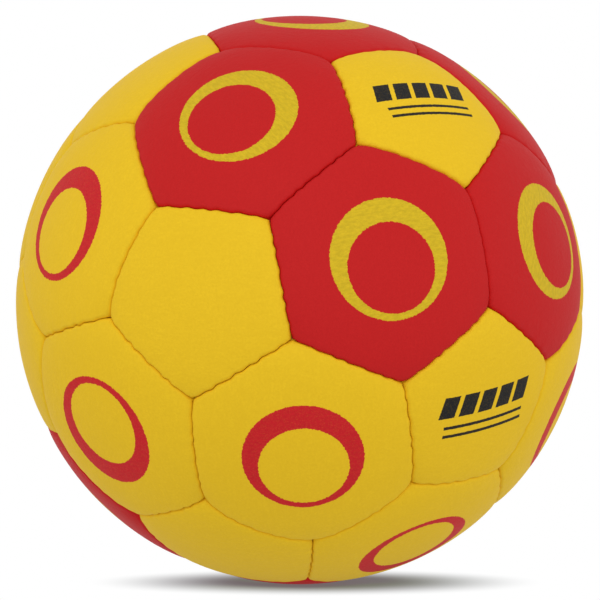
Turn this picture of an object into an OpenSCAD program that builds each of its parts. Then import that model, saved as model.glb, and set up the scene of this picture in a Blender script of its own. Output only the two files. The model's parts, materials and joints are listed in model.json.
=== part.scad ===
// A stitched handball: 32 panels round a rubber bladder. Millimetres, +Z up, origin at the ball's centre.
// The valve is on +Y. A plain pentagon is on -Y, opposite the valve.

/* [Ball] */
// Girth of the ball, which is how its size is given
girth = 550; // [500:5:600]
// Turn of the ball about the line through its valve, in degrees
lie_turn = -11.4; // [-36:0.1:36]

/* [Cover] */
// Thickness of the synthetic leather skin
skin_t = 1.2; // [1:0.1:1.5]
// Thickness of the foam behind the skin
foam_t = 1.6; // [1.2:0.1:2.4]
// Thickness of the cloth lining behind the foam
lining_t = 1.6; // [1.2:0.1:2.4]
// Radius with which a panel's edge rolls into its seam
roll_r = 2.6; // [2.4:0.1:2.9]
// Gap between the two flanges of a seam
seam_gap = 0.1; // [0.06:0.02:0.2]

/* [Stitching] */
// Stitches that cross each seam
stitches = 6; // [4:1:7]
// Diameter of the waxed thread
thread_d = 1; // [0.7:0.1:1.2]
// Gap round the thread in its needle hole
thread_fit = 0.05; // [0.03:0.01:0.1]

/* [Bladder] */
// Thickness of the bladder's wall
bladder_t = 0.9; // [0.6:0.1:1.5]
// Gap between the bladder and the lining
bladder_fit = 0.1; // [0.05:0.05:0.3]
// Diameter of the balance patch opposite the valve
balance_d = 24; // [16:1:32]
// Thickness of the balance patch
balance_t = 3; // [1.5:0.5:4]

/* [Valve] */
// Diameter of the valve's stem
valve_d = 8; // [7:0.5:10]
// Length of the valve from the ball's surface inward
valve_length = 18; // [16:1:24]
// How far the valve's face lies below the ball's surface
valve_recess = 0.5; // [0.3:0.1:1]
// Gap between the valve and the hole in the cover
valve_fit = 0.2; // [0.1:0.05:0.4]
// Diameter of the valve's foot inside the bladder
foot_d = 20; // [16:1:26]
// Thickness of the valve's foot
foot_t = 1.2; // [0.8:0.1:2]
// Diameter of the patch that strengthens the bladder round the valve
patch_d = 30; // [27:1:38]
// Thickness of that patch
patch_t = 0.8; // [0.5:0.1:1.5]
// Diameter of the soft core inside the valve's stem
core_d = 5; // [4:0.5:6]
// Length of the soft core
core_length = 14; // [13:0.5:15]
// Diameter of the pump needle that the valve takes
needle_d = 2; // [1.8:0.1:2.2]
// Gap round the needle in its bore
needle_fit = 0.1; // [0.05:0.05:0.2]
// Length of the needle's bore, below its funnel
needle_length = 9; // [7:0.5:10]
// Depth of the funnel at the mouth of the needle's bore
funnel_h = 0.8; // [0.4:0.1:1.2]
// Width of that funnel's mouth
funnel_d = 3.4; // [3:0.1:3.8]

/* [Hidden] */
PENTAGONS = 12;
HEXAGONS = 20;
PENT_SIDES = 5;
HEX_SIDES = 6;
function numbered(name, i) = str(name, i < 10 ? "_0" : "_", i);
PENT_NODES = [for (i = [1 : PENTAGONS]) numbered("pent_panel", i)];
HEX_NODES = [for (i = [1 : HEXAGONS]) numbered("hex_panel", i)];
PAD_NODES = ["foam_pads_pentagon", "foam_pads_hexagon", "lining_pads_pentagon", "lining_pads_hexagon"];
THREAD_NODES = ["thread_pentagons_valve_side", "thread_pentagons_far_side", "thread_between_hexagons"];
INNER_NODES = ["bladder", "valve_body", "valve_core", "valve_patch", "balance_patch"];

$fn = 96;
fine = 24;
yellow = [0.86, 0.68, 0.13];
red = [0.76, 0.15, 0.16];
cloth_white = [0.9, 0.88, 0.82];
foam_grey = [0.75, 0.75, 0.72];
thread_white = [0.93, 0.91, 0.85];
rubber_black = [0.1, 0.1, 0.1];
rubber_amber = [0.55, 0.38, 0.2];

// The shells of the cover and the bladder, from the surface inward
ball_r = girth / (2 * PI);
cover_t = skin_t + foam_t + lining_t;
foam_r = ball_r - skin_t;
lining_r = foam_r - foam_t;
cover_r = ball_r - cover_t;
bladder_r = cover_r - bladder_fit;
hollow_r = bladder_r - bladder_t;

// One overrun for every cut
over = 1;

// A truncated icosahedron with edges of length 1: its corners' radius, and angles seen from its centre
corner_share = sqrt(58 + 18 * sqrt(5)) / 4;
seam_angle = 2 * asin(1 / (2 * corner_share));
function corner_tilt(sides) = asin(1 / (2 * sin(180 / sides) * corner_share));
function side_tilt(sides) = atan(tan(corner_tilt(sides)) * cos(180 / sides));

// Angle from the valve's axis to each ring of panels, and each ring's turn about that axis
ring_count = 5;
ring_step = 360 / ring_count;
half_step = ring_step / 2;
pent_step = atan(2);
face_tilt = acos(sqrt((5 + 2 * sqrt(5)) / 15));
face_step = acos(sqrt(5) / 3);
hex_tilts = [face_tilt, face_tilt + face_step, 180 - face_tilt - face_step, 180 - face_tilt];
pent_tilts = [0, pent_step, 180 - pent_step, 180];
function hex_ring(i) = floor((i - 1) / ring_count);
function pent_ring(i) = i == 1 ? 0 : i == PENTAGONS ? 3 : i - 2 < ring_count ? 1 : 2;
function place_in_ring(i, first) = (i - first) % ring_count * ring_step;
function pent_tilt(i) = pent_tilts[pent_ring(i)];
function pent_turn(i) = pent_ring(i) == 1 ? place_in_ring(i, 2)
  : pent_ring(i) == 2 ? place_in_ring(i, 2) + half_step : 0;
function hex_tilt(i) = hex_tilts[hex_ring(i)];
function hex_turn(i) = place_in_ring(i, 1) + (hex_ring(i) < 2 ? half_step : 0);

// A panel's spin about its own centre, which brings its corners to its neighbours' corners
function pent_spin(i) = pent_ring(i) == 1 ? 180 : 0;
function hex_spin(i) = (hex_ring(i) % 2 == 0 ? 1 : -1) * 180 / HEX_SIDES;

// Sides of each ring's hexagons that carry the seams between two hexagons, each seam once
hex_seam_sides = [[5, 1], [1, 5], [], [3, 1]];

// The hexagons round one pentagon and round its opposite are red, as far as this share of a radius tells
red_centre = 11;
red_share = 0.5;
function aim(tilt, turn) = [sin(tilt) * cos(turn), sin(tilt) * sin(turn), cos(tilt)];
red_aim = aim(pent_tilt(red_centre), pent_turn(red_centre));
function is_red(i) = abs(aim(hex_tilt(i), hex_turn(i)) * red_aim) > red_share;

// The rolled edge: its centre, and the slight angle at which the roll leaves the ball's surface
half_gap = seam_gap / 2;
roll_angle = 15;
roll_z = half_gap + roll_r;
roll_centre = sqrt(pow(ball_r, 2) + pow(roll_r, 2) - 2 * ball_r * roll_r * cos(roll_angle));
roll_x = sqrt(pow(roll_centre, 2) - pow(roll_z, 2));
cut_angle = 80;
cap_margin = 4;

// The stitch line runs half way down the straight part of the flange
stitch_r = ball_r - (roll_r + cover_t) / 2;
flange_z = half_gap + skin_t;

// The thread lies half flattened on the flange, is squeezed in its holes, and ends a little past its last stitch
flat_share = 0.4;
squeeze_share = 0.7;
row_end_share = 0.7;
thread_r = thread_d / 2;
thread_lift = thread_r * flat_share;
stitch_r_in_hole = thread_r * squeeze_share;
stitch_step = seam_angle / (stitches + row_end_share);
first_stitch = -(stitches - 1) * stitch_step / 2;
row_angle = (stitches - 1 + row_end_share) * stitch_step;

// Heights along the valve's axis
valve_top = ball_r - valve_recess;
valve_end = ball_r - valve_length;
core_end = valve_top - core_length;
needle_r = needle_d / 2 + needle_fit;
funnel_slope = (funnel_d / 2 - needle_r) / funnel_h;
funnel_end_r = needle_r + funnel_slope * (funnel_h + over);

// Frames: the ball as it lies, a panel's centre on +Z, and a seam's middle on +X with its plane at z = 0
module lie() {
  rotate([-90, 0, 0])
    rotate([0, 0, lie_turn])
      children();
}

module at_pentagon(i) {
  rotate([0, pent_tilt(i), pent_turn(i)])
    rotate([0, 0, pent_spin(i)])
      children();
}

module at_hexagon(i) {
  rotate([0, hex_tilt(i), hex_turn(i)])
    rotate([0, 0, hex_spin(i)])
      children();
}

module at_side(sides, side) {
  rotate([0, 0, 360 / sides * (side + 0.5)])
    rotate([0, side_tilt(sides) - 90, 0])
      children();
}

// A round cap of a spherical shell, centred on +Z, a little wider than a panel
module cap(sides, outer, inner) {
  intersection() {
    difference() {
      sphere(outer);
      sphere(inner);
    }
    cylinder(r = ball_r * sin(corner_tilt(sides) + cap_margin), h = ball_r + over);
  }
}

// A round patch of a spherical shell, with its rim cut straight down
module patch(outer, thickness, width, hole) {
  intersection() {
    difference() {
      sphere(outer);
      sphere(outer - thickness);
    }
    translate([0, 0, hollow_r / 2])
      difference() {
        cylinder(d = width, h = hollow_r);
        if (hole > 0)
          translate([0, 0, -over])
            cylinder(d = hole, h = hollow_r + 2 * over);
      }
  }
}

// Cuts a panel off along one side, at half the seam's gap, and rolls its edge
module rolled_cut() {
  reach = ball_r + over;
  rotate_extrude(angle = cut_angle, start = -cut_angle / 2)
    difference() {
      union() {
        translate([0, half_gap - reach])
          square(reach);
        translate([roll_x, half_gap - over])
          square([reach - roll_x, roll_r + over]);
      }
      translate([roll_x, roll_z])
        circle(roll_r, $fn = fine);
    }
}

// Cuts everything off below height z over the seam's plane
module straight_cut(z) {
  reach = ball_r + over;
  translate([-reach, -reach, z - 2 * reach])
    cube(2 * reach);
}

// A layer of the cover whose sides stand at distance inset from the planes of its seams
module layer(sides, outer, inner, inset) {
  difference() {
    cap(sides, outer, inner);
    for (side = [0 : sides - 1])
      at_side(sides, side)
        straight_cut(inset);
  }
}

module stitch_holes() {
  for (k = [0 : stitches - 1])
    rotate([0, 0, first_stitch + k * stitch_step])
      translate([stitch_r, 0, half_gap - over])
        cylinder(r = stitch_r_in_hole + thread_fit, h = skin_t + 2 * over, $fn = fine);
}

// The skin of one panel: a crown whose rolled edges turn in as flanges with needle holes
module panel_skin(sides) {
  difference() {
    cap(sides, ball_r, cover_r);
    for (side = [0 : sides - 1])
      at_side(sides, side)
        rolled_cut();
    layer(sides, foam_r, cover_r - over, flange_z);
    for (side = [0 : sides - 1])
      at_side(sides, side)
        stitch_holes();
  }
}

module valve_hole() {
  translate([0, 0, hollow_r])
    cylinder(d = valve_d + 2 * valve_fit, h = ball_r - hollow_r + over);
}

// A row of thread that lies flat on a flange
module thread_row() {
  rotate([0, 0, -row_angle / 2])
    rotate_extrude(angle = row_angle)
      intersection() {
        translate([stitch_r, flange_z + thread_lift])
          circle(thread_r, $fn = fine);
        translate([stitch_r - thread_d, flange_z])
          square(2 * thread_d);
      }
}

// The thread of one seam: a row on each flange, joined by the stitches through both
module seam_thread() {
  thread_row();
  mirror([0, 0, 1])
    thread_row();
  for (k = [0 : stitches - 1])
    rotate([0, 0, first_stitch + k * stitch_step])
      translate([stitch_r, 0, -flange_z - thread_lift])
        cylinder(r = stitch_r_in_hole, h = 2 * (flange_z + thread_lift), $fn = fine);
}

module pent_panel(i) {
  color(yellow)
    lie()
      at_pentagon(i)
        difference() {
          panel_skin(PENT_SIDES);
          if (i == 1)
            valve_hole();
        }
}

module hex_panel(i) {
  color(is_red(i) ? red : yellow)
    lie()
      at_hexagon(i)
        panel_skin(HEX_SIDES);
}

module pentagon_pads(outer, inner) {
  lie()
    for (i = [1 : PENTAGONS])
      at_pentagon(i)
        difference() {
          layer(PENT_SIDES, outer, inner, roll_z);
          if (i == 1)
            valve_hole();
        }
}

module hexagon_pads(outer, inner) {
  lie()
    for (i = [1 : HEXAGONS])
      at_hexagon(i)
        layer(HEX_SIDES, outer, inner, roll_z);
}

module foam_pads_pentagon() {
  color(foam_grey)
    pentagon_pads(foam_r, lining_r);
}

module foam_pads_hexagon() {
  color(foam_grey)
    hexagon_pads(foam_r, lining_r);
}

module lining_pads_pentagon() {
  color(cloth_white)
    pentagon_pads(lining_r, cover_r);
}

module lining_pads_hexagon() {
  color(cloth_white)
    hexagon_pads(lining_r, cover_r);
}

module pentagon_threads(first, last) {
  color(thread_white)
    lie()
      for (i = [first : last])
        at_pentagon(i)
          for (side = [0 : PENT_SIDES - 1])
            at_side(PENT_SIDES, side)
              seam_thread();
}

module thread_pentagons_valve_side() {
  pentagon_threads(1, PENTAGONS / 2);
}

module thread_pentagons_far_side() {
  pentagon_threads(PENTAGONS / 2 + 1, PENTAGONS);
}

module thread_between_hexagons() {
  color(thread_white)
    lie()
      for (i = [1 : HEXAGONS])
        at_hexagon(i)
          for (side = hex_seam_sides[hex_ring(i)])
            at_side(HEX_SIDES, side)
              seam_thread();
}

module bladder() {
  color(rubber_black)
    lie()
      difference() {
        sphere(bladder_r);
        sphere(hollow_r);
        translate([0, 0, hollow_r - over])
          cylinder(d = valve_d, h = bladder_t + 2 * over);
      }
}

// The stem and its foot, with a pocket for the core and a small hole below it
module valve_body() {
  pocket_floor = core_end;
  color(rubber_amber)
    lie()
      difference() {
        union() {
          translate([0, 0, valve_end])
            cylinder(d = valve_d, h = valve_top - valve_end);
          patch(hollow_r - patch_t, foot_t, foot_d, 0);
        }
        translate([0, 0, pocket_floor])
          cylinder(d = core_d, h = core_length + over);
        translate([0, 0, valve_end - over])
          cylinder(r = needle_r, h = valve_length, $fn = fine);
      }
}

// The plug in the stem's pocket: a funnel and a bore for the needle, closed by a soft end below
module valve_core() {
  color(rubber_black)
    lie()
      difference() {
        translate([0, 0, core_end])
          cylinder(d = core_d, h = core_length);
        translate([0, 0, valve_top - funnel_h - needle_length])
          cylinder(r = needle_r, h = needle_length + over, $fn = fine);
        translate([0, 0, valve_top - funnel_h])
          cylinder(r1 = needle_r, r2 = funnel_end_r, h = funnel_h + over, $fn = fine);
      }
}

module valve_patch() {
  color(rubber_black)
    lie()
      patch(hollow_r, patch_t, patch_d, valve_d);
}

module balance_patch() {
  color(rubber_black)
    lie()
      mirror([0, 0, 1])
        patch(hollow_r, balance_t, balance_d, 0);
}

for (i = [1 : PENTAGONS])
  pent_panel(i);
for (i = [1 : HEXAGONS])
  hex_panel(i);
foam_pads_pentagon();
foam_pads_hexagon();
lining_pads_pentagon();
lining_pads_hexagon();
thread_pentagons_valve_side();
thread_pentagons_far_side();
thread_between_hexagons();
bladder();
valve_body();
valve_core();
valve_patch();
balance_patch();
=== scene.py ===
"""Looks of a stitched handball: 32 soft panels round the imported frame.

Blender's places are in metres. The sums about the panels are in millimetres, and MM turns them into metres.
"""

import json
import math

import bpy
import numpy as np
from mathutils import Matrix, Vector


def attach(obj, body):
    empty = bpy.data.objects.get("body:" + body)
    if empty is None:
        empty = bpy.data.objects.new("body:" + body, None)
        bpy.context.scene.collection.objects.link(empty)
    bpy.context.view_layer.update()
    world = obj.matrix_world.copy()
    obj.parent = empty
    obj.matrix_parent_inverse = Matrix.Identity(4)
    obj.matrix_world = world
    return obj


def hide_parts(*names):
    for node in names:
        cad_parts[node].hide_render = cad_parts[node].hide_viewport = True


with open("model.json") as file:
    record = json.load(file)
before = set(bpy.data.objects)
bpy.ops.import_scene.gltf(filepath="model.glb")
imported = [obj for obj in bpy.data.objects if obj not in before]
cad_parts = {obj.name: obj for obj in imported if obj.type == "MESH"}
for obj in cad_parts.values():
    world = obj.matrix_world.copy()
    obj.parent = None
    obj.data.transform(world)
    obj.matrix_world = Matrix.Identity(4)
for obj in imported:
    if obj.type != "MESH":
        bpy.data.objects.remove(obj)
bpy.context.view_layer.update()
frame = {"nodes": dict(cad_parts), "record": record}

MM = 0.001

# The ball as it lies: its radius, for the rest point is its lowest point, and its turn about the valve's axis
MOUNTS = {m["name"]: m for m in frame["record"]["mounts"]}
BALL_R = -MOUNTS["rest_point"]["pos_m"][2] / MM
LIE_TURN = math.radians(-11.4)

# The panels' centres, in rings of five round the valve's axis, as on a truncated icosahedron
RING_COUNT = 5
RING_STEP = math.tau / RING_COUNT
PENT_STEP = math.atan(2)  # from the axis to the first ring of pentagons
FACE_TILT = math.acos(math.sqrt((5 + 2 * math.sqrt(5)) / 15))  # from the axis to the first ring of hexagons
FACE_STEP = math.acos(math.sqrt(5) / 3)  # from there to the next ring of hexagons

# Cosines between two centres that tell near panels from the panel itself and from those farther off
PENTS_LEAST = 0.4
PENTS_MOST = 0.9
RED_LEAST = 0.5
HEXES_LEAST = 0.7

# The pentagon in the middle of the red group in front, counted from 0, and the panel with the valve
RED_CENTRE = 10
VALVE_PANEL = "pent_panel_01"

# The seams: stitches and flanges as in the part
SEAM_ANGLE = 2 * math.asin(2 / math.sqrt(58 + 18 * math.sqrt(5)))
STITCHES = 6
ROW_END_SHARE = 0.7
STITCH_STEP = SEAM_ANGLE / (STITCHES + ROW_END_SHARE)
SEAM_GAP = 0.1
SKIN_T = 1.2
FLANGE_DEPTH = 4.4

# The waves of a seam sewn by hand
WAVE = 0.2  # swing of the quick waves
WAVE_SLOW = 0.3  # swing of the slow wave
WAVE_FADE = 3.5  # reach into the panel
WAVE_DEPTH = 3.0  # reach down the flange
PUCKER = 0.09  # depth of the pucker at a stitch
PUCKER_REACH = 2.5  # reach of the pucker into the panel

# How the waves differ from seam to seam
SEAM_SEED = 11
KEY_STEPS = 1000  # a corner is rounded to this part of a unit in the name of its seams
QUICK_SIZES = (0.6, 1.2)  # least and most size of a quick wave
PHASE_STRAY = 0.3  # how far the first quick wave starts off the stitches
PACE_STRAY = 0.9  # how far it runs ahead and behind
PACE_TURNS = 2.3  # how often it does so in a seam
SECOND_SHARE = 0.4  # size of the second quick wave to the first
SECOND_PACE = 1.7  # how many of the second go to a stitch
LEAN_SHARE = 0.6  # the slow wave's lean to its bow
LEAN_STRAY = 0.4  # how far the lean's middle strays

# Seams where the first panel bulges over the second, and how far
BULGES = {
    ("hex_panel_17", "pent_panel_08"): 1.4,
    ("pent_panel_12", "hex_panel_19"): 0.9,
    ("pent_panel_08", "hex_panel_07"): 1.4,
    ("hex_panel_12", "hex_panel_07"): 1.4,
}

# The puffed relief of a panel
EDGE_ROLL = 1.0  # radius of the roll into the seam
EDGE_SINK = 0.35  # the short slope to the seam, and its reach
EDGE_SINK_REACH = 1.8
PUFF = 0.35  # the long slope to the seam, and its reach
PUFF_REACH = 7.0
CORNER_SINK = 1.4  # the dent at a corner, and its reach
CORNER_SINK_REACH = 3.3
CORNER_OPEN = 0.25  # how far a corner draws back from its neighbours, and the reach of that
CORNER_REACH = 1.2

# The soft unevenness of a panel
LUMP = 0.1  # height
LUMP_WAVES = 10  # number of waves
LUMP_LENGTHS = (14, 45)  # shortest and longest wave

# Near the floor the ball's weight presses the relief flatter: by what share, and to what angle from below
PRESS_SHARE = 0.6
PRESS_REACH = math.radians(22)

# The round opening over the valve, with its rolled and bevelled edge
HOLE_R = 4.2
HOLE_ROLL = 0.5
HOLE_BEVEL = 0.15

# Steps of the panel meshes
SIDE_STEPS = 44  # along each side
ROLL_STEPS = 7  # round the roll into the seam
EDGE_RINGS = (1.3, 1.6, 2.0, 2.5, 3.1, 4.0, 5.2, 6.9, 9.0)  # distances from the seam
CROWN_STEPS = 9  # from the last of those to the middle
INNER_RIM = 3.0  # rim of the inner face, from the seam
INNER_SHARES = (0.9, 0.6, 0.3, 0.0)  # places between that rim and the middle
INNER_BEND = ((0.4, 0.2), (0.0, 0.9))  # how far inside the flange and below the face it bends down

# The camera, fitted to the ball's outline and seams in the photograph, with its distance in ball radii
PHOTO_SIZE = 600
OUTLINE_RADIUS_PX = 284.8
CAMERA_AZIMUTH = math.radians(19.87)
CAMERA_ELEVATION = math.radians(-0.82)
CAMERA_DISTANCE = 9.5
SENSOR = 36.0
CLIP_END = 50
VIEW_RIGHT = np.array([math.cos(CAMERA_AZIMUTH), math.sin(CAMERA_AZIMUTH), 0.0])


def unit(v):
    return v / np.linalg.norm(v, axis=-1, keepdims=True)


def aim(tilt, turn):
    """The direction at an angle from the valve's axis, turned about it, on the ball as it lies."""
    around = turn + LIE_TURN
    x, y, z = math.sin(tilt) * math.cos(around), math.sin(tilt) * math.sin(around), math.cos(tilt)
    return np.array([x, z, -y])


def pentagon_centres():
    rings = [(PENT_STEP, 0.0), (math.pi - PENT_STEP, RING_STEP / 2)]
    middle = [aim(tilt, start + k * RING_STEP) for tilt, start in rings for k in range(RING_COUNT)]
    return [aim(0, 0)] + middle + [aim(math.pi, 0)]


def hexagon_centres():
    upper = [(FACE_TILT, RING_STEP / 2), (FACE_TILT + FACE_STEP, RING_STEP / 2)]
    lower = [(math.pi - FACE_TILT - FACE_STEP, 0.0), (math.pi - FACE_TILT, 0.0)]
    return [aim(tilt, start + k * RING_STEP) for tilt, start in upper + lower for k in range(RING_COUNT)]


class Panel:
    """One panel of the cover: its centre, its corners in order, and the planes of its seams."""

    def __init__(self, node, centre, corners, toward, colour):
        self.node = node
        self.centre = centre
        self.colour = colour
        self.x_axis = unit(toward - centre * (toward @ centre))
        self.y_axis = np.cross(centre, self.x_axis)
        turns = [math.atan2(c @ self.y_axis, c @ self.x_axis) for c in corners]
        self.corners = np.array([c for _, c in sorted(zip(turns, corners), key=lambda pair: pair[0])])
        following = np.roll(self.corners, -1, axis=0)
        self.planes = unit(np.cross(self.corners, following))
        self.mids = unit(self.corners + following)
        self.along = np.cross(self.planes, self.mids)
        self.has_hole = node == VALVE_PANEL

    def local(self, p):
        """Where directions p lie along the panel's two axes, in millimetres from its centre."""
        angle = np.arccos(np.clip(p @ self.centre, -1, 1))
        flat = np.stack([p @ self.x_axis, p @ self.y_axis], axis=-1)
        length = np.maximum(np.linalg.norm(flat, axis=-1, keepdims=True), 1e-9)
        return flat / length * angle[..., None] * BALL_R


# Each corner of a panel lies a third of the way from one pentagon's centre to a near one's
def pentagon_panel(node, centre, pents):
    """A yellow pentagon, with its print's direction level as the camera sees it, or turned from that."""
    near = [p for p in pents if PENTS_LEAST < p @ centre < PENTS_MOST]
    corners = [unit(2 * centre + p) for p in near]
    turn = PRINT_TURNS.get(node, 0.0)
    level = unit(VIEW_RIGHT - centre * (VIEW_RIGHT @ centre))
    toward = math.cos(turn) * level + math.sin(turn) * np.cross(centre, level)
    return Panel(node, centre, corners, toward, "yellow")


def hexagon_panel(node, centre, pents, red_axis, reds):
    """A hexagon, red near the red axis. Its print is set by a panel of the other colour beside it."""
    near = sorted(pents, key=lambda p: -(p @ centre))[:3]
    corners = [unit(2 * a + b) for a in near for b in near if a is not b]
    red = abs(centre @ red_axis) > RED_LEAST
    if red:
        away = -unit(max(near, key=lambda p: abs(p @ red_axis)) - centre)
    else:
        across = [h for h in reds if h @ centre > HEXES_LEAST]
        away = -unit(across[0] - centre)
    side = np.cross(centre, away)
    toward = math.cos(RING_TURN) * away + math.sin(RING_TURN) * side
    return Panel(node, centre, corners, toward, "red" if red else "yellow")


def make_panels():
    pents, hexes = pentagon_centres(), hexagon_centres()
    red_axis = pents[RED_CENTRE]
    reds = [h for h in hexes if abs(h @ red_axis) > RED_LEAST]
    panels = [pentagon_panel(f"pent_panel_{i:02d}", centre, pents) for i, centre in enumerate(pents, 1)]
    for i, centre in enumerate(hexes, 1):
        panels.append(hexagon_panel(f"hex_panel_{i:02d}", centre, pents, red_axis, reds))
    return panels


class Seams:
    """The small sideways wave of each seam, the same for the two panels that meet there."""

    def __init__(self, panels):
        self.rows = {}
        self.sides = {}
        for panel in panels:
            for i in range(len(panel.corners)):
                self.sides.setdefault(self.key(panel, i)[0], []).append(panel.node)
        rng = np.random.default_rng(SEAM_SEED)
        for key in sorted(self.sides):
            self.rows[key] = rng.uniform(0, math.tau, 5), rng.uniform(*QUICK_SIZES, 2), rng.uniform(-1, 1, 2)

    @staticmethod
    def key(panel, i):
        """A name for a panel's seam that its neighbour shares, and 1 or -1 for the panel's side of it."""
        a = tuple(int(v) for v in np.round(panel.corners[i] * KEY_STEPS))
        b = tuple(int(v) for v in np.round(panel.corners[(i + 1) % len(panel.corners)] * KEY_STEPS))
        return ((a, b), 1) if a < b else ((b, a), -1)

    def wave(self, panel, i, angle):
        """Sideways shift into the panel, and nearness to a stitch, at angles from the seam's middle."""
        key, sign = self.key(panel, i)
        phase, size, bow = self.rows[key]
        other = next(node for node in self.sides[key] if node != panel.node)
        bulge = BULGES.get((panel.node, other), 0) - BULGES.get((other, panel.node), 0)
        share = np.clip(2 * sign * angle / SEAM_ANGLE, -1, 1)
        fade = 1 - share ** 4
        stitch = math.tau * (sign * angle / STITCH_STEP + 0.5 * (STITCHES % 2 == 0))
        pace = PACE_STRAY * np.sin(PACE_TURNS * share * math.pi + phase[1])
        quick = size[0] * np.sin(stitch + phase[0] * PHASE_STRAY + pace)
        second = size[1] * SECOND_SHARE * np.sin(SECOND_PACE * stitch + phase[3])
        middle = np.cos(share * math.pi / 2)
        lean = LEAN_SHARE * bow[1] * np.sin(share * math.pi + LEAN_STRAY * np.sin(phase[2]))
        slow = bow[0] * middle + lean
        shift = sign * fade * (WAVE * (quick + second) + WAVE_SLOW * slow) - bulge * middle
        return shift, 0.5 + 0.5 * np.cos(stitch)


def edge_ring(panel, seams, distance, height, puckered=True):
    """A ring at one distance inside all the seams of a panel.

    Each row of a ring is a point: its direction in three columns, its height above the ball's radius, and its
    distance from the seam.
    """
    sides = len(panel.corners)
    along_mitre = unit(panel.centre - panel.corners * (panel.corners @ panel.centre)[:, None])
    reach = distance / BALL_R / np.sum(along_mitre * panel.planes, axis=1)
    inset = np.cos(np.arcsin(reach))[:, None] * panel.corners + reach[:, None] * along_mitre
    deep = min(max(-height - EDGE_ROLL, 0) / WAVE_DEPTH, 1)
    fade = math.exp(-max(distance, 0) / WAVE_FADE) * (1 - deep)
    out = []
    for i in range(sides):
        a, b = inset[i], inset[(i + 1) % sides]
        start, end = (math.atan2(p @ panel.along[i], p @ panel.mids[i]) for p in (a, b))
        angle = start + (end - start) * np.arange(SIDE_STEPS) / SIDE_STEPS
        shift, stitch = seams.wave(panel, i, angle)
        corner = np.minimum(np.abs(angle - start), np.abs(end - angle)) * BALL_R
        opening = CORNER_OPEN * np.exp(-(corner / CORNER_REACH) ** 2)
        rise = np.arcsin((distance + shift * fade + opening * fade) / BALL_R)
        flat = np.cos(angle)[:, None] * panel.mids[i] + np.sin(angle)[:, None] * panel.along[i]
        p = np.cos(rise)[:, None] * flat + np.sin(rise)[:, None] * panel.planes[i]
        dip = PUCKER * stitch * math.exp(-((distance / PUCKER_REACH) ** 2)) if puckered else 0.0
        heights = np.broadcast_to(height - dip, angle.shape)
        out.append(np.column_stack([p, heights, np.full(len(p), distance)]))
    return np.concatenate(out)


def far_ring(p, height):
    """A ring in the given directions, at one height and well away from the seams."""
    return np.column_stack([p, np.full(len(p), height), np.full(len(p), EDGE_RINGS[-1])])


def circle(panel, rim, radius):
    """Directions on a circle about the panel's centre, one towards each point of a rim."""
    flat = unit(rim[:, :3] - panel.centre * (rim[:, :3] @ panel.centre)[:, None])
    tilt = radius / BALL_R
    return math.cos(tilt) * panel.centre + math.sin(tilt) * flat


def crown_ring(panel, rim, share, height):
    """A ring between a rim of the panel and its middle, which is its centre or the round valve hole."""
    end = circle(panel, rim, HOLE_R + HOLE_ROLL) if panel.has_hole else panel.centre
    return far_ring(unit((1 - share) * rim[:, :3] + share * end), height)


def hole_ring(panel, rim, radius, height):
    """A ring on the wall of the valve hole."""
    return far_ring(circle(panel, rim, radius), height)


def relief_left(ring):
    """The share of the relief that the ball's weight leaves at each point."""
    up = np.arccos(np.clip(-ring[:, 2], -1, 1))
    return 1 - PRESS_SHARE * np.exp(-(up / PRESS_REACH) ** 2)


def sink(distance):
    """How far the puffed surface lies below the ball's radius at a distance from the seam."""
    return EDGE_SINK * math.exp(-distance / EDGE_SINK_REACH) + PUFF * math.exp(-distance / PUFF_REACH)


def dents(panel, ring):
    """How far the points of a ring sink near the panel's corners."""
    away = np.linalg.norm(ring[:, None, :3] - panel.corners[None], axis=2) * BALL_R
    return CORNER_SINK * np.exp(-away / CORNER_SINK_REACH).sum(axis=1) * relief_left(ring)


def lumps(points, seed):
    """A smooth, seeded unevenness between -1 and 1."""
    rng = np.random.default_rng(seed)
    total = np.zeros(len(points))
    for _ in range(LUMP_WAVES):
        k = unit(rng.normal(size=3)) * math.tau / rng.uniform(*LUMP_LENGTHS)
        total += np.cos(points @ k + rng.uniform(0, math.tau))
    return total / LUMP_WAVES


def inner_rings(panel, seams):
    """Rings from the middle of a skin's inner face to the foot of its flange."""
    half = SEAM_GAP / 2
    inner = half + SKIN_T
    rim = edge_ring(panel, seams, INNER_RIM, -SKIN_T, False)
    rings = [hole_ring(panel, rim, HOLE_R, -SKIN_T)] if panel.has_hole else []
    rings += [crown_ring(panel, rim, share, -SKIN_T) for share in INNER_SHARES]
    for inside, below in INNER_BEND:
        rings.append(edge_ring(panel, seams, inner + inside, -SKIN_T - below, False))
    for ring in rings:
        ring[:, 3] -= dents(panel, ring)
    return rings + [edge_ring(panel, seams, distance, -FLANGE_DEPTH, False) for distance in (inner, half)]


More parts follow.
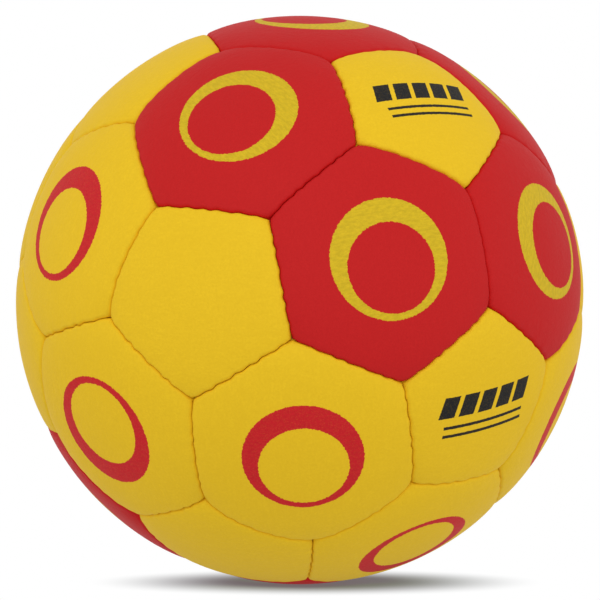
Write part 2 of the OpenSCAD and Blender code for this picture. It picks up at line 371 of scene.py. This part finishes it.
def outer_rings(panel, seams, seed):
    """Rings from a skin's flange, over its rolled edge, to the middle of its crown."""
    half = SEAM_GAP / 2
    outer = [(half, -(FLANGE_DEPTH + EDGE_ROLL) / 2)]
    for k in range(ROLL_STEPS + 1):
        turn = math.pi / 2 * k / ROLL_STEPS
        outer.append((half + EDGE_ROLL * (1 - math.cos(turn)), -EDGE_ROLL * (1 - math.sin(turn))))
    outer += [(distance, 0.0) for distance in EDGE_RINGS]
    rings = [edge_ring(panel, seams, distance, height) for distance, height in outer]
    sinks = [sink(distance) for distance, _ in outer]
    rim = rings[-1]
    last = CROWN_STEPS if panel.has_hole else CROWN_STEPS - 1
    for k in range(1, last + 1):
        share = k / CROWN_STEPS
        rings.append(crown_ring(panel, rim, share, 0.0))
        sinks.append(sink(EDGE_RINGS[-1]) * (1 - share))
    for ring, depth in zip(rings, sinks):
        lift = LUMP * (lumps(ring[:, :3] * BALL_R, seed) - 1)
        ring[:, 3] += lift - depth * relief_left(ring) - dents(panel, ring)
    if panel.has_hole:
        rings.append(hole_ring(panel, rim, HOLE_R + HOLE_BEVEL, -LUMP - HOLE_BEVEL))
        rings.append(hole_ring(panel, rim, HOLE_R, -LUMP - HOLE_ROLL))
    return rings


def ring_faces(count, size, closed):
    """Faces between each ring and the next, and from the last back to the first where the skin has a hole."""
    faces = []
    for r in range(count if closed else count - 1):
        here, there = r * size, (r + 1) % count * size
        for k in range(size):
            following = (k + 1) % size
            faces.append((here + k, here + following, there + following, there + k))
    return faces


def add_object(name, data):
    made = bpy.data.objects.new(name, data)
    bpy.context.scene.collection.objects.link(made)
    return made


def build_panel(panel, seams, seed):
    """The closed skin of one panel, with each point's place on the panel for its material."""
    rings = inner_rings(panel, seams) + outer_rings(panel, seams, seed)
    size = len(rings[0])
    points = np.concatenate(rings)
    faces = ring_faces(len(rings), size, panel.has_hole)
    if not panel.has_hole:
        inner_middle, crown_middle, last = len(points), len(points) + 1, (len(rings) - 1) * size
        crown_height = LUMP * (lumps(panel.centre[None] * BALL_R, seed)[0] - 1)
        ends = np.array([[*panel.centre, height, EDGE_RINGS[-1]] for height in (-SKIN_T, crown_height)])
        points = np.concatenate([points, ends])
        faces += [(inner_middle, (k + 1) % size, k) for k in range(size)]
        faces += [(last + k, last + (k + 1) % size, crown_middle) for k in range(size)]
    place = points[:, :3] * (BALL_R + points[:, 3:4]) * MM
    mesh = bpy.data.meshes.new(panel.node + "_skin")
    mesh.from_pydata([tuple(p) for p in place], [], faces)
    mesh.polygons.foreach_set("use_smooth", [True] * len(faces))
    store = mesh.attributes.new("panel_place", "FLOAT_VECTOR", "POINT")
    on_panel = np.column_stack([panel.local(unit(points[:, :3])), points[:, 4]])
    store.data.foreach_set("vector", on_panel.ravel())
    mesh.update()
    return add_object(panel.node + "_skin", mesh)


class Nodes:
    """A short way to write the nodes of a new material, or of a tree that is given."""

    def __init__(self, name=None, tree=None, output="ShaderNodeOutputMaterial"):
        if tree is None:
            self.material = bpy.data.materials.new(name)
            self.material.use_nodes = True
            tree = self.material.node_tree
        self.tree = tree
        self.tree.nodes.clear()
        self.output = self.add(output)

    def add(self, kind, inputs=None, **settings):
        made = self.tree.nodes.new(kind)
        for key, value in settings.items():
            setattr(made, key, value)
        for key, value in (inputs or {}).items():
            self.put(made.inputs[key], value)
        return made

    def put(self, socket, value):
        if isinstance(value, bpy.types.NodeSocket):
            self.tree.links.new(value, socket)
        else:
            socket.default_value = value

    def math(self, operation, *values):
        made = self.add("ShaderNodeMath", operation=operation)
        for socket, value in zip(made.inputs, values):
            self.put(socket, value)
        return made.outputs[0]

    def mix(self, share, a, b):
        made = self.add("ShaderNodeMix", data_type="RGBA")
        for socket, value in zip((made.inputs[0], made.inputs[6], made.inputs[7]), (share, a, b)):
            self.put(socket, value)
        return made.outputs[2]

    def noise(self, place, scale, detail=2.0, rough=0.5, distortion=0.0):
        made = self.add("ShaderNodeTexNoise", {"Vector": place, "Scale": scale, "Detail": detail})
        self.put(made.inputs["Roughness"], rough)
        self.put(made.inputs["Distortion"], distortion)
        return made.outputs["Fac"]

    def ramp(self, value, low, high, to_low=0.0, to_high=1.0, interpolation="LINEAR"):
        inputs = {"Value": value, "From Min": low, "From Max": high, "To Min": to_low, "To Max": to_high}
        return self.add("ShaderNodeMapRange", inputs, interpolation_type=interpolation).outputs[0]

    def object_place(self):
        return self.add("ShaderNodeTexCoord").outputs["Object"]

    def surface(self, shader):
        self.tree.links.new(shader.outputs[0], self.output.inputs["Surface"])

    def finish(self, colour, rough, normal, **fixed):
        shader = self.add("ShaderNodeBsdfPrincipled", {"Base Color": colour, "Roughness": rough})
        self.put(shader.inputs["Normal"], normal)
        for name, value in fixed.items():
            shader.inputs[name.replace("_", " ")].default_value = value
        self.surface(shader)
        return self.material


# The leather: its tone, the darker tone of its clouds, specks and creases, and its painted seam light: a
# lighter, richer tone on the roll into the seam, in place of light bounced into the groove
YELLOW = (0.80, 0.52, 0.0155, 1)
YELLOW_DEEP = (0.75, 0.475, 0.0130, 1)
YELLOW_PAINTED_SEAM_LIGHT = (0.83, 0.52, 0.0130, 1)
RED = (0.515, 0.0129, 0.0132, 1)
RED_DEEP = (0.49, 0.0113, 0.0120, 1)
RED_PAINTED_SEAM_LIGHT = (0.58, 0.0080, 0.0080, 1)

# The leather's textures, by about how many go to a metre
CLOUD_SCALE = 28.0
GRAIN_SCALE = 2400.0
PEBBLE_SCALE = 1300.0
WRINKLE_SCALE = 260.0
SPECK_SCALE = 1500.0

# The leather's short creases: how many go to a millimetre, and their width to their length
CREASE_SCALE = 0.8
CREASE_SHARE = 0.25

# The leather's looks
CLOUD_SHARE = 0.4  # the most of the deep tone that a cloud brings
CREASE_TONE_SHARE = 0.8  # the most of it that a crease brings
LEATHER_ROUGH = (0.56, 0.68)  # least and most roughness
LEATHER_GLOSS = 0.10  # specular level

# The leather's two bumps: what the fine one is made of, and the height in metres and strength of each
GRAIN_SHARE = 0.5
PEBBLE_SHARE = 0.35
CREASE_BUMP_SHARE = 0.8
FINE_HEIGHT = 0.00015
FINE_STRENGTH = 0.6
SOFT_HEIGHT = 0.0005
SOFT_STRENGTH = 0.28

# The distances from a seam, in millimetres, between which the painted seam light gives way to the leather's
# tone
PAINTED_SEAM_LIGHT_START = 0.1
PAINTED_SEAM_LIGHT_WIDTH = 0.6

# The inks, each with the tone of its thinner streaks
YELLOW_INK = ((0.65, 0.45, 0.0155, 1), (0.54, 0.375, 0.0132, 1))
RED_INK = ((0.56, 0.0132, 0.0200, 1), (0.51, 0.0118, 0.0180, 1))
BLACK_INK = ((0.014, 0.014, 0.015, 1), (0.010, 0.010, 0.011, 1))

# The streaks in an ink: how many go to a millimetre, and their width to their length
STREAK_SCALE = 1.3
STREAK_SHARE = 0.35

# The dabs of an ink: how many go to a metre, and how much of the leather's tone the thinnest hides
DAB_SCALE = 3000.0
DAB_COVER = 0.90

# The edge of an ink, in millimetres
INK_STRAY = 0.4  # how far it strays
INK_SOFT = 0.06  # how soft it is
BLACK_STRAY_SHARE = 0.4  # how much of the stray the black print has

# The generic print of the hexagons, in millimetres: a plain ring, thicker on one side
RING_OUTER = 17.5
RING_INNER = 13.0
RING_SHIFT = 2.6
RING_TURN = math.radians(30)

# The plain black print of two pentagons, in millimetres: a row of slanted blocks over two thin lines
BLOCKS = 5
BLOCK_PITCH = 6.8
BLOCK_WIDTH = 5.3
BLOCK_HEIGHT = 6.5
BLOCK_SLANT = 0.3
BLOCK_LEVEL = 3.4
LINE_LEVELS = (-3.0, -5.8)
LINE_LENGTH = 30.0
LINE_WIDTH = 1.0
PRINT_TURNS = {"pent_panel_07": math.radians(-6), "pent_panel_11": math.radians(28)}


def distance_from(n, x, y):
    return n.math("SQRT", n.math("ADD", n.math("MULTIPLY", x, x), n.math("MULTIPLY", y, y)))


def ring_mask(n, x, y, stray):
    """A mask of the ring between two circles, the inner one set off to one side."""
    outer = n.math("SUBTRACT", RING_OUTER, distance_from(n, x, y))
    inner = n.math("SUBTRACT", distance_from(n, n.math("SUBTRACT", x, RING_SHIFT), y), RING_INNER)
    room = n.math("ADD", n.math("MINIMUM", outer, inner), stray)
    return n.ramp(room, -INK_SOFT, INK_SOFT)


def band(n, value, middle, width):
    """How far a value lies inside a band about its middle."""
    return n.math("SUBTRACT", width / 2, n.math("ABSOLUTE", n.math("SUBTRACT", value, middle)))


def blocks_mask(n, x, y, stray):
    """A mask of a row of slanted blocks over thin level lines."""
    along = n.math("SUBTRACT", x, n.math("MULTIPLY", n.math("SUBTRACT", y, BLOCK_LEVEL), BLOCK_SLANT))
    cell = n.math("FRACT", n.math("ADD", n.math("DIVIDE", along, BLOCK_PITCH), BLOCKS / 2))
    block = band(n, n.math("MULTIPLY", cell, BLOCK_PITCH), BLOCK_PITCH / 2, BLOCK_WIDTH)
    reach = band(n, along, 0.0, BLOCKS * BLOCK_PITCH)
    row = n.math("MINIMUM", reach, band(n, y, BLOCK_LEVEL, BLOCK_HEIGHT))
    room = n.math("MINIMUM", block, row)
    for level in LINE_LEVELS:
        line = n.math("MINIMUM", band(n, x, 0.0, LINE_LENGTH), band(n, y, level, LINE_WIDTH))
        room = n.math("MAXIMUM", room, line)
    room = n.math("ADD", room, n.math("MULTIPLY", stray, BLACK_STRAY_SHARE))
    return n.ramp(room, -INK_SOFT, INK_SOFT)


def printed_tone(n, place, x, y, tone, ink, mask):
    """The leather's tone with a streaked ink on it, dabbed and ragged at its edge, where the mask says."""
    stray = n.ramp(n.noise(place, SPECK_SCALE), 0.0, 1.0, -INK_STRAY, INK_STRAY)
    printed = mask(n, x, y, stray)
    dab = n.noise(place, DAB_SCALE, 1.0)
    drawn = n.add("ShaderNodeCombineXYZ", {"X": x, "Y": n.math("MULTIPLY", y, STREAK_SHARE)}).outputs[0]
    streak = n.ramp(n.noise(drawn, STREAK_SCALE, 2.0, 0.7), 0.35, 0.65)
    inked = n.mix(streak, *ink)
    return n.mix(n.math("MULTIPLY", printed, n.ramp(dab, 0.1, 0.5, DAB_COVER, 1.0)), tone, inked)


def skin_material(name, colour, deep, painted_seam_light, ink=None, mask=None):
    """Matte synthetic leather: fine grain, faint creases, light painted into the seam's groove, and a printed
    mask.
    """
    n = Nodes(name)
    place = n.object_place()
    local = n.add("ShaderNodeAttribute", attribute_name="panel_place", attribute_type="GEOMETRY")
    x, y, edge = n.add("ShaderNodeSeparateXYZ", {"Vector": local.outputs["Vector"]}).outputs
    cloud = n.noise(place, CLOUD_SCALE, 3.0)
    grain = n.noise(place, GRAIN_SCALE, 3.0, 0.6)
    cells = n.add("ShaderNodeTexVoronoi", {"Vector": place, "Scale": PEBBLE_SCALE}, feature="SMOOTH_F1")
    pebble = cells.outputs["Distance"]
    stretched = n.add("ShaderNodeCombineXYZ", {"X": n.math("MULTIPLY", x, CREASE_SHARE), "Y": y}).outputs[0]
    crease = n.noise(stretched, CREASE_SCALE, 3.0, 0.6, 0.8)
    wrinkle = n.noise(place, WRINKLE_SCALE, 4.0, 0.55, 1.6)
    tone = n.mix(n.ramp(cloud, 0.3, 0.7, 0.0, CLOUD_SHARE), colour, deep)
    tone = n.mix(n.ramp(n.noise(place, SPECK_SCALE), 0.35, 0.65), tone, deep)
    tone = n.mix(n.ramp(crease, 0.35, 0.7, 0.0, CREASE_TONE_SHARE), tone, deep)
    rough = n.ramp(grain, 0.2, 0.8, *LEATHER_ROUGH)
    if ink:
        tone = printed_tone(n, place, x, y, tone, ink, mask)
    # painted light: a lighter, richer tone on the roll into the seam stands in for light bounced into the
    # groove
    tone = n.mix(n.ramp(edge, PAINTED_SEAM_LIGHT_START, PAINTED_SEAM_LIGHT_WIDTH), painted_seam_light, tone)
    height = n.math("ADD", n.math("MULTIPLY", grain, GRAIN_SHARE), n.math("MULTIPLY", pebble, PEBBLE_SHARE))
    height = n.math("ADD", height, n.math("MULTIPLY", crease, CREASE_BUMP_SHARE))
    fine = n.add("ShaderNodeBump", {"Strength": FINE_STRENGTH, "Distance": FINE_HEIGHT, "Height": height})
    soft = n.add("ShaderNodeBump", {"Strength": SOFT_STRENGTH, "Distance": SOFT_HEIGHT, "Height": wrinkle})
    n.put(soft.inputs["Normal"], fine.outputs[0])
    return n.finish(tone, rough, soft.outputs[0], Specular_IOR_Level=LEATHER_GLOSS)


# Finishes of the inner pieces and the valve: two tones, grain scale, least and most roughness, bump strength
FINISHES = {
    "black_latex": ((0.020, 0.020, 0.022, 1), (0.030, 0.029, 0.028, 1), 700.0, 0.42, 0.6, 0.15),
    "grey_foam": ((0.60, 0.60, 0.57, 1), (0.52, 0.52, 0.50, 1), 1800.0, 0.8, 0.95, 0.5),
    "waxed_thread": ((0.78, 0.75, 0.66, 1), (0.66, 0.63, 0.54, 1), 2600.0, 0.5, 0.7, 0.5),
    "valve_rubber": ((0.34, 0.20, 0.09, 1), (0.27, 0.16, 0.07, 1), 900.0, 0.45, 0.62, 0.2),
    "core_rubber": ((0.030, 0.030, 0.030, 1), (0.05, 0.048, 0.045, 1), 900.0, 0.5, 0.65, 0.2),
}

# The height of their bumps in metres, and how much wider their clouds are than their grain
PLAIN_HEIGHT = 0.0003
GRAINS_TO_CLOUD = 8

# The lining's cloth: the tones between its threads and on them, the scale of its weave, and its roughness
CLOTH_DEEP = (0.62, 0.60, 0.54, 1)
CLOTH = (0.80, 0.78, 0.72, 1)
CLOTH_SCALE = 420.0
CLOTH_ROUGH = (0.85, 0.95)

# Which finish each kind of node has, by the start of its name
NODE_FINISHES = {
    "foam": "grey_foam",
    "lining": "lining_cloth",
    "thread": "waxed_thread",
    "bladder": "black_latex",
    "valve_patch": "black_latex",
    "balance": "black_latex",
    "valve_body": "valve_rubber",
    "valve_core": "core_rubber",
}


def plain_material(name, colour, deep, scale, rough_low, rough_high, bump):
    """A procedural finish for a hidden piece: cloudy colour and a grain of the given scale."""
    n = Nodes(name)
    place = n.object_place()
    cloud = n.noise(place, scale / GRAINS_TO_CLOUD)
    grain = n.noise(place, scale, 3.0, 0.6)
    tone = n.mix(n.ramp(cloud, 0.3, 0.7), colour, deep)
    height = n.add("ShaderNodeBump", {"Strength": bump, "Distance": PLAIN_HEIGHT, "Height": grain})
    return n.finish(tone, n.ramp(grain, 0.2, 0.8, rough_low, rough_high), height.outputs[0])


def cloth_material(name):
    """The woven lining: threads along two of the ball's axes."""
    n = Nodes(name)
    place = n.object_place()
    weave = []
    for axis in ("X", "Z"):
        inputs = {"Vector": place, "Scale": CLOTH_SCALE, "Distortion": 0.4}
        threads = n.add("ShaderNodeTexWave", inputs, wave_type="BANDS", bands_direction=axis)
        weave.append(threads.outputs["Fac"])
    height = n.math("MAXIMUM", *weave)
    tone = n.mix(n.ramp(height, 0.2, 0.9), CLOTH_DEEP, CLOTH)
    bump = n.add("ShaderNodeBump", {"Strength": 0.5, "Distance": PLAIN_HEIGHT, "Height": height})
    return n.finish(tone, n.ramp(height, 0.0, 1.0, *CLOTH_ROUGH), bump.outputs[0])


def dress_frame():
    """Procedural finishes for the pieces inside the cover and for the valve."""
    made = {name: plain_material(name, *facts) for name, facts in FINISHES.items()}
    made["lining_cloth"] = cloth_material("lining_cloth")
    for name, node in frame["nodes"].items():
        for start, finish in NODE_FINISHES.items():
            if name.startswith(start):
                node.data.materials.clear()
                node.data.materials.append(made[finish])


def dress_panels():
    """The 32 skins, each in place of its panel's node."""
    panels = make_panels()
    seams = Seams(panels)
    yellow = (YELLOW, YELLOW_DEEP, YELLOW_PAINTED_SEAM_LIGHT)
    skins = {
        "plain": skin_material("yellow_skin", *yellow),
        "marked": skin_material("yellow_skin_marked", *yellow, BLACK_INK, blocks_mask),
        "yellow": skin_material("yellow_skin_ringed", *yellow, RED_INK, ring_mask),
        "red": skin_material("red_skin_ringed", RED, RED_DEEP, RED_PAINTED_SEAM_LIGHT, YELLOW_INK, ring_mask),
    }
    for seed, panel in enumerate(panels):
        piece = build_panel(panel, seams, seed)
        finish = panel.colour
        if len(panel.corners) == 5:
            finish = "marked" if panel.node in PRINT_TURNS else "plain"
        piece.data.materials.append(skins[finish])
        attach(piece, "root")
        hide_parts(panel.node)


def make_camera():
    data = bpy.data.cameras.new("camera")
    data.sensor_width = SENSOR
    focal_px = OUTLINE_RADIUS_PX * math.sqrt(CAMERA_DISTANCE ** 2 - 1)
    data.lens = focal_px / PHOTO_SIZE * SENSOR
    data.clip_end = CLIP_END
    camera = add_object("camera", data)
    flat = math.cos(CAMERA_ELEVATION)
    x, y = math.sin(CAMERA_AZIMUTH) * flat, -math.cos(CAMERA_AZIMUTH) * flat
    back = Vector((x, y, math.sin(CAMERA_ELEVATION)))
    camera.location = back * CAMERA_DISTANCE * BALL_R * MM
    camera.rotation_euler = (-back).to_track_quat("-Z", "Y").to_euler()
    bpy.context.scene.camera = camera


# Directions on the floor as the camera sees it
SIDE = Vector(VIEW_RIGHT)
AHEAD = Vector((-VIEW_RIGHT[1], VIEW_RIGHT[0], 0))
UP = Vector((0, 0, 1))

# The white of the background, and the strength of the plain light from all round
WHITE = (1, 1, 1, 1)
WORLD_FILL = 0.735

# The floor, with a painted shadow near the ball
FLOOR_SIZE = 12.0  # width in metres
# painted shadow: the dark cool grey of the oval near the ball, tinted blue to cancel the ball's coloured
# bounce light
PAINTED_SHADOW_GREY = (0.14, 0.18, 0.23, 1)  # the cool grey that shows in the ball's shadow
FLOOR_GLOW = 0.70  # strength of the light that it gives the ball

# The painted shadow on the floor, an oval in ball radii where the white gives way to a dark grey that the
# ball's real shadow also falls on
SHADOW_FROM = 0.26  # where it starts to pale
SHADOW_TO = 0.82  # where it is gone
SHADOW_LEAST = 0.13  # share of white in its darkest part
SHADOW_DEPTH = 0.67  # its depth to its width
SHADOW_ASIDE = 0.055  # how far its middle lies to the right
SHADOW_BACK = 0.073  # how far its middle lies back

# The lamps: the place of each aside, ahead and up in metres, its width in metres and its power in watts
LAMPS = {
    "key": ((-0.3, -1.0, 1.1), 1.2, 3.75),
    "front": ((0.05, -1.4, 0.1), 1.2, 6.1),
    "right": ((1.3, -0.4, 0.1), 1.0, 4.2),
    "left": ((-1.3, -0.3, 0.1), 1.0, 2.3),
}


def background_rays(n):
    """One for the rays that should see the white background: from the camera, and in mirrors and glass."""
    rays = n.add("ShaderNodeLightPath").outputs
    mirrored = n.math("MAXIMUM", rays["Is Camera Ray"], rays["Is Glossy Ray"])
    return n.math("MAXIMUM", mirrored, rays["Is Transmission Ray"])


def light_and_show(n, lit, seen):
    """Light the object with one shader, and show the other as the background."""
    n.surface(n.add("ShaderNodeMixShader", {0: background_rays(n), 1: lit.outputs[0], 2: seen.outputs[0]}))


def floor_material():
    """A white light table. Near the ball a painted shadow oval darkens it to a grey that the ball's real
    shadow also falls on, and farther off it is plain white.
    """
    n = Nodes("white_floor_painted_shadow")
    x, y, _ = n.add("ShaderNodeSeparateXYZ", {"Vector": n.object_place()}).outputs
    away = n.math("DIVIDE", distance_from(n, x, n.math("DIVIDE", y, SHADOW_DEPTH)), BALL_R * MM)
    # painted shadow: in an oval about the ball the white fades into a dark grey floor, which takes the ball's
    # real shadow too
    share = n.ramp(away, SHADOW_FROM, SHADOW_TO, SHADOW_LEAST, 1.0, interpolation="SMOOTHSTEP")
    near = n.add("ShaderNodeBsdfDiffuse", {"Color": PAINTED_SHADOW_GREY})
    white = n.add("ShaderNodeEmission", {"Color": WHITE, "Strength": 1.0})
    seen = n.add("ShaderNodeMixShader", {0: share, 1: near.outputs[0], 2: white.outputs[0]})
    glow = n.add("ShaderNodeEmission", {"Color": WHITE, "Strength": FLOOR_GLOW})
    light_and_show(n, glow, seen)
    return n.material


def make_floor():
    """The floor under the ball, turned to the camera so that the painted shadow's oval lies across the view.
    """
    half = FLOOR_SIZE / 2
    low = -BALL_R * MM
    corners = [(-half, -half, low), (half, -half, low), (half, half, low), (-half, half, low)]
    mesh = bpy.data.meshes.new("floor")
    mesh.from_pydata(corners, [], [(0, 1, 2, 3)])
    mesh.materials.append(floor_material())
    floor = add_object("floor", mesh)
    floor.location = BALL_R * MM * (SHADOW_ASIDE * SIDE + SHADOW_BACK * AHEAD)
    floor.rotation_euler.z = CAMERA_AZIMUTH


def make_world():
    """Plain white light from all round, and a white background."""
    world = bpy.data.worlds.new("studio")
    bpy.context.scene.world = world
    world.use_nodes = True
    n = Nodes(tree=world.node_tree, output="ShaderNodeOutputWorld")
    fill = n.add("ShaderNodeBackground", {"Color": WHITE, "Strength": WORLD_FILL})
    white = n.add("ShaderNodeBackground", {"Color": WHITE, "Strength": 1.0})
    light_and_show(n, fill, white)


def add_lamp(name, place, width, power):
    """A square lamp that points at the ball."""
    aside, ahead, up = place
    data = bpy.data.lights.new(name, "AREA")
    data.shape = "SQUARE"
    data.size = width
    data.energy = power
    lamp = add_object(name, data)
    lamp.location = aside * SIDE + ahead * AHEAD + up * UP
    lamp.rotation_euler = (-lamp.location).to_track_quat("-Z", "Y").to_euler()


def make_lights():
    for name, (place, width, power) in LAMPS.items():
        add_lamp(name, place, width, power)


bpy.context.scene.view_settings.view_transform = "Standard"
make_camera()
make_world()
make_lights()
make_floor()
dress_frame()
dress_panels()
